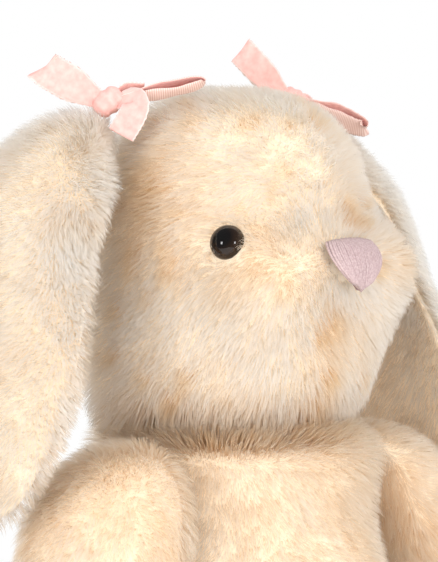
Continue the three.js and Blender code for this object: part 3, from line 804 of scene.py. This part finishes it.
def tube_rings(spine, radius, stretch, inset, rows, cols):
    """Rings of a stuffed tube along a curved line, rounded at both ends."""
    t = np.linspace(0.01, 0.99, rows)
    s = (1 - np.cos(np.pi * t)) / 2
    dense = smooth_line(spine, 400)
    length = np.linalg.norm(np.diff(dense, axis=0), axis=1).sum()
    along = (inset + s * (length - 2 * inset)) / length
    centre = np.column_stack([np.interp(along, np.linspace(0, 1, 400), dense[:, k]) for k in range(3)])
    end = np.clip(1 - np.abs(2 * s - 1) ** 2.6, 0, 1) ** (1 / 2.6)
    r = (radius(along) - inset) * end
    axis = unit(dense[-1] - dense[0])
    side = unit(np.cross([0, 0, 1.0], axis))
    over = np.cross(axis, side)
    a = np.linspace(0, 2 * np.pi, cols, endpoint=False)
    ring = stretch * np.cos(a)[:, None] * side + np.sin(a)[:, None] * over
    return centre[:, None] + r[:, None, None] * ring[None]


def shoulder_wall(p):
    """How far out the cone lies that parts an arm from the torso."""
    reach = np.hypot(p[..., 1] - SHOULDER["y"], p[..., 2] - SHOULDER["z"])
    return SHOULDER["x"] + 1.5 + SHOULDER["flare"] * reach


def make_arm(name, side):
    spine = np.array(ARM_LINE, float) * [side, 1, 1]
    radius = lambda s: 26.5 + 2.5 * np.sin(np.pi * s) - 3 * s
    rings = tube_rings(spine, radius, 1.05, BACKING_INSET, 60, 64)
    # The side next to the torso is pressed flat against the cone, with a soft edge round it.
    wall, soft = np.minimum(shoulder_wall(rings), 70), 2.5
    rings[..., 0] = side * (wall + soft * np.logaddexp(0, (side * rings[..., 0] - wall) / soft))
    points, faces = closed_rings(rings)
    cloth = (f"arm_{name}_skin", f"arm_{name}", points, faces, [f"arm_{name}_cover"])
    down_arm = unit(spine[-1:] - spine[:1]) + np.array([0, 0, -0.3])
    # The strands are tan all over as their own tone, and tanner towards the side pressed against the
    # torso as painted shade between arm and torso.
    grow(f"arm_{name}_pile", cover(*cloth, fill=0.85), points, triangles(faces), STRANDS["arm"],
         np.random.default_rng(30 + side), lambda p, n: down_arm, length=8.8,
         density=lambda p, n: np.where(side * p[:, 0] - shoulder_wall(p) < 4, 1.5, 1.0),
         tan_and_shade=lambda p, n: 0.34 + 0.3 * ramp(side * p[:, 0], 62, 50))


def sole_place(side):
    """The middle of a sole where it is sewn on, and the direction it faces."""
    return np.array(SOLE["at"]) * [side, 1, 1], unit(np.array(SOLE["facing"]) * [side, 1, 1])


def make_leg(name, side):
    spine = np.array(LEG_LINE, float) * [side, 1, 1]
    radius = lambda s: 24.5 - 2.5 * np.sin(np.pi * s) + 2.5 * s * s
    rings = tube_rings(spine, radius, 1.02, BACKING_INSET, 56, 60)
    centre, facing = sole_place(side)
    depth = (rings - centre) @ facing
    rings = rings - np.maximum(depth + 0.3, 0)[..., None] * facing
    points, faces = closed_rings(rings)
    cloth = (f"leg_{name}_skin", f"leg_{name}", points, faces, [f"leg_{name}_cover"])

    def density(p, n):
        under_sole = (p - centre) @ facing > -0.8
        inside_torso = np.hypot(p[:, 0], p[:, 1]) < 50
        return np.where(under_sole | inside_torso, 0.0, 1.0)

    grow(f"leg_{name}_pile", cover(*cloth, fill=0.85), points, triangles(faces), STRANDS["leg"],
         np.random.default_rng(40 + side), lambda p, n: np.array([side * 0.2, -1.0, -0.3]),
         density=density, tan_and_shade=0.14, floor=True)


def sewn_panel(name, node, body, centre, facing, radius, thick, rng):
    """A round panel of short-pile cloth, domed by the filling, with the stitches round its rim."""
    aside = unit(np.cross([0, 0.3, 1.0], facing))
    up = np.cross(facing, aside)
    turn = np.linspace(0, 2 * np.pi, 72, endpoint=False)[:, None]
    ring = np.cos(turn) * aside + np.sin(turn) * up
    profile = [(0.15, -0.2), (0.5, -0.2), (0.85, -0.2), (0.97, 0.1), (1.0, 0.6 * thick), (0.96, thick)]
    profile += [(r, thick + 1.1 * (1 - r ** 2)) for r in (0.9, 0.75, 0.6, 0.45, 0.3, 0.15)]
    points, faces = closed_rings(np.array([centre + h * facing + radius * r * ring for r, h in profile]))
    panel = cover(name, body, points, faces, [node], fill=0.8)
    over_rim = [(0.90, thick + 0.15), (0.955, thick + 0.65), (1.01, thick * 0.6), (1.0, 0.3)]
    threads, stitches = [], 44
    for k in range(stitches):
        angle = 2 * np.pi * (k + rng.uniform(-0.12, 0.12)) / stitches
        out = np.cos(angle) * aside + np.sin(angle) * up
        line = smooth_line([centre + radius * r * out + h * facing for r, h in over_rim], 7)
        along = unit(np.gradient(line, axis=0))
        beside = unit(np.cross(along, facing + 0.01 * out))
        threads.append(tube(line, beside, np.cross(beside, along), 0.28, 0.28))
    seam = make_object(name + "_stitches", *joined(threads), SEAM_THREAD)
    seam.parent = panel
    return panel, points, faces


def make_soles_and_seat():
    for name, side in SIDES.items():
        centre, facing = sole_place(side)
        rng = np.random.default_rng(80 + side)
        panel, points, faces = sewn_panel(f"leg_{name}_sole_pad", f"leg_{name}_sole", f"leg_{name}",
                                          centre, facing, SOLE["radius"], SOLE["thick"], rng)
        inside = lambda p, n: ((p - centre) @ facing > 1.6) & (distance(p, centre) < SOLE["radius"] - 1)
        grow(f"leg_{name}_sole_nap", panel, points, triangles(faces), STRANDS["sole"], rng,
             lambda p, n: np.array([0, 0, -1.0]), length=3.2, width=0.26, lean=(15, 60),
             density=inside, tan_and_shade=0.18)
    sewn_panel("seat_panel_cloth", "seat_panel", "torso", np.array([0, 0, SEAT_PANEL["z"]]),
               np.array([0, 0, -1.0]), SEAT_PANEL["radius"], SEAT_PANEL["thick"],
               np.random.default_rng(84))


def make_tail():
    t, a = np.meshgrid(np.linspace(0.02, 0.98, 30), np.linspace(0, 2 * np.pi, 40, endpoint=False),
                       indexing="ij")
    r = TAIL["radius"] - BACKING_INSET
    level = r * np.sin(np.pi * t)
    rings = np.stack([level * np.sin(a), TAIL["y"] + level * np.cos(a),
                      TAIL["z"] + r * np.cos(np.pi * t)], -1)
    points, faces = closed_rings(rings)
    skin = cover("tail_cover_skin", "tail", points, faces, ["tail_cover"], fill=0.9)
    grow("tail_pile", skin, points, triangles(faces), STRANDS["tail"], np.random.default_rng(50),
         lambda p, n: np.array([0, 0.6, -0.4]), length=9.0, lean=(10, 45),
         density=lambda p, n: np.where(p[:, 1] < TAIL["y"] - 11, 0.0, 1.0))


# ---- Ears ----
def ear_surface(side, face, rows, cols):
    """One face of an ear: 1 is the outer side, -1 the side towards the head."""
    line = smooth_line(EAR_LINE, rows)
    s = np.linspace(0, 1, rows)[:, None]
    along = unit(np.gradient(line, axis=0))
    away = np.column_stack([-along[:, 1], along[:, 0]])
    t = np.sin(np.linspace(-1, 1, cols) * np.pi / 2)[None]
    root = ramp(s, -0.06, 0.3)
    tip = np.sqrt(np.clip(1 - np.clip((s - 0.55) / 0.45, 0, 1) ** 2.4, 0, 1))
    half = 1.2 + 32.8 * (0.3 + 0.7 * root) * tip
    full = 0.4 + 3.2 * np.sqrt(np.clip(1 - t ** 4, 0, 1)) * np.minimum(1, 4 * (1 - s) + 0.15)
    front = EAR_FRONT[side]
    roll = front["roll"] * ramp(s, 0.02, 0.2) * (1 - ramp(s, 0.4, 0.85))
    shift = face * full - (5 * np.sin(np.pi * np.minimum(1, s + 0.1)) + roll * (t < 0)) * t ** 2
    drawn_in = np.where(t < 0, front["drawn_in"] * (1 - ramp(s, 0.35, 0.8)), 3.5)
    y = 15 - 7 * s ** 2 + 5 * (1 - s) ** 3 + t * np.maximum(half - drawn_in, 0.6)
    x = side * (line[:, :1] + away[:, :1] * shift)
    z = line[:, 1:] + away[:, 1:] * shift
    return np.stack([x, y + 0 * x, z], -1)


def make_ear(name, side):
    rows, cols = 90, 34
    rng = np.random.default_rng(60 + side)
    # The inner panel's strands grow tanner towards its lower end, as painted shade where the ear hangs
    # against the head.
    kinds = {"outer": dict(face=1, strands=STRANDS["ear"], length=9.0, tan_and_shade=0),
             "inner": dict(face=-1, strands=STRANDS["ear_inner"], length=7.0,
                           tan_and_shade=lambda p, n: 0.3 * ramp(p[:, 2], 205, 175))}

    def comb(p, n):
        """Out from the root, then down the ear and round its two edges."""
        down = ramp(p[:, 2], 225, 200)[:, None]
        round_edge = np.zeros_like(p)
        round_edge[:, 1] = 1.7 * np.clip((p[:, 1] - 14) / 33, -1, 1) ** 3
        return np.array([side * 0.7, 0, 0]) * (1 - down) + np.array([0, 0, -1.0]) * down + round_edge

    for label, kind in kinds.items():
        shown_side = ear_surface(side, kind["face"], rows, cols)
        sewn_side = ear_surface(side, 0.04 * kind["face"], rows, cols)
        points, faces = closed_slab(shown_side, sewn_side)
        skin = cover(f"ear_{name}_{label}_skin", f"ear_{name}", points, faces,
                     [f"ear_{name}_{label}_panel"], fill=0.5)
        tris = triangles(faces)
        shown = tris[(tris < rows * cols).all(1)]
        grow(f"ear_{name}_{label}_pile", skin, points, shown, kind["strands"], rng, comb,
             length=kind["length"], lean=(20, 62), density=lambda p, n: 1 + 5 * np.abs(n[:, 1]) ** 2,
             tan_and_shade=kind["tan_and_shade"])


# ---- Inner pieces ----
def make_filling(node, material, seed):
    """A lumpy mass of filling in the place of its CAD node, on the same body."""
    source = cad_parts[node]
    obj = link_object(f"{node}_fill", source.data.copy())
    remesh = obj.modifiers.new("remesh", "REMESH")
    remesh.mode, remesh.voxel_size = "VOXEL", 4 * MM
    evaluated = obj.evaluated_get(bpy.context.evaluated_depsgraph_get())
    mesh = bpy.data.meshes.new_from_object(evaluated)
    obj.modifiers.clear()
    obj.data = mesh
    place = np.zeros(len(mesh.vertices) * 3, np.float32)
    mesh.vertices.foreach_get("co", place)
    normal = np.zeros(len(mesh.vertices) * 3, np.float32)
    mesh.vertices.foreach_get("normal", normal)
    place, normal = place.reshape(-1, 3), normal.reshape(-1, 3)
    lump = 0.6 * MM
    sunk = place + normal * lump * (noise(place / MM, 9, seed) - 1.1)
    mesh.vertices.foreach_set("co", sunk.astype(np.float32).ravel())
    mesh.polygons.foreach_set("use_smooth", np.ones(len(mesh.polygons), bool))
    mesh.materials.clear()
    mesh.materials.append(material)
    mesh.update()
    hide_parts(node)
    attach(obj, node.removesuffix("_stuffing") if material is FIBRE else "torso")


def make_fillings():
    materials = {"torso_stuffing": FIBRE, "pellet_pouch": PELLET_CLOTH, "neck_stuffing": FIBRE,
                 "head_stuffing": FIBRE, "tail_stuffing": FIBRE}
    for limb in ("arm", "leg"):
        for side in SIDES:
            materials[f"{limb}_{side}_stuffing"] = FIBRE
    for seed, (node, material) in enumerate(materials.items(), start=70):
        make_filling(node, material, seed)


def paint_washer(name):
    """The washer keeps its CAD shape and only gets its material."""
    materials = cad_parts[f"eye_washer_{name}"].data.materials
    materials.clear()
    materials.append(WASHER)


make_head()
make_nose()
make_bows()
make_torso()
make_tail()
make_soles_and_seat()
for name, side in SIDES.items():
    paint_washer(name)
    make_eye(name, side)
    make_arm(name, side)
    make_leg(name, side)
    make_ear(name, side)
make_fillings()


# ---- Floor, light and camera ----
def face_towards(obj, place, target):
    obj.location = place
    obj.rotation_euler = (Vector(target) - Vector(place)).to_track_quat("-Z", "Y").to_euler()


def area_light(name, place, target, size, power, shiny=True):
    data = bpy.data.lights.new(name, "AREA")
    data.shape = "RECTANGLE"
    data.size, data.size_y = size
    data.energy = power
    obj = link_object(name, data)
    face_towards(obj, place, target)
    obj.visible_glossy = shiny


def make_floor():
    s = Shader("pale_floor", Roughness=0.7)
    s.paint(s.colours(s.grain(40.0), [(0.4, (0.86, 0.86, 0.86)), (0.6, (0.88, 0.88, 0.88))]))
    half, below = 0.5, -0.5 * MM
    mesh = bpy.data.meshes.new("floor")
    corners = [(-half, -half, below), (half, -half, below), (half, half, below), (-half, half, below)]
    mesh.from_pydata(corners, [], [(0, 1, 2, 3)])
    mesh.materials.append(s.material)
    link_object("floor", mesh)


def make_world():
    world = bpy.data.worlds.new("studio")
    world.use_nodes = True
    nodes, links = world.node_tree.nodes, world.node_tree.links
    nodes["Background"].inputs["Color"].default_value = (0.98, 0.99, 1, 1)
    nodes["Background"].inputs["Strength"].default_value = 1.15
    seen = nodes.new("ShaderNodeBackground")
    seen.inputs["Color"].default_value = (1, 1, 1, 1)
    path = nodes.new("ShaderNodeLightPath")
    dim = nodes.new("ShaderNodeBackground")
    dim.inputs["Color"].default_value = (0.25, 0.25, 0.25, 1)
    light = nodes["Background"].outputs[0]
    for ray, shader in (("Is Glossy Ray", dim), ("Is Camera Ray", seen)):
        mix = nodes.new("ShaderNodeMixShader")
        links.new(path.outputs[ray], mix.inputs[0])
        links.new(light, mix.inputs[1])
        links.new(shader.outputs[0], mix.inputs[2])
        light = mix.outputs[0]
    links.new(light, nodes["World Output"].inputs["Surface"])
    bpy.context.scene.world = world


def make_camera():
    data = bpy.data.cameras.new("camera")
    data.sensor_width, data.lens = 36, 201
    target = Vector((-0.0027, 0.0129, 0.170))
    azimuth, elevation, distance_away = math.radians(-45), math.radians(2), 1.1
    level = math.cos(elevation)
    back = Vector((math.sin(azimuth) * level, -math.cos(azimuth) * level, math.sin(elevation)))
    obj = link_object("camera", data)
    face_towards(obj, target + back * distance_away, target)
    bpy.context.scene.camera = obj


def make_lights():
    middle = (0, 0, 0.16)
    area_light("softbox_left", (-1.05, 0.0, 0.36), middle, (0.18, 0.22), 1.8)
    area_light("softbox_right", (-0.2, -1.03, 0.34), middle, (0.17, 0.20), 1.8)
    area_light("low_fill", (-0.85, -0.35, 0.05), (0, 0, 0.14), (0.6, 0.09), 0.9, shiny=False)
    area_light("side_fill", (-0.1, -1.1, 0.14), middle, (0.7, 0.4), 3.0, shiny=False)
    area_light("cheek_fill", (-0.6, -0.45, 0.1), (-0.03, 0.03, 0.18), (0.2, 0.06), 0.3, shiny=False)
    area_light("front_fill", (-0.88, -1.1, 0.34), (0, 0, 0.19), (1.2, 0.7), 4.0, shiny=False)


make_floor()
make_world()
make_camera()
make_lights()
bpy.context.scene.view_settings.view_transform = "Standard"
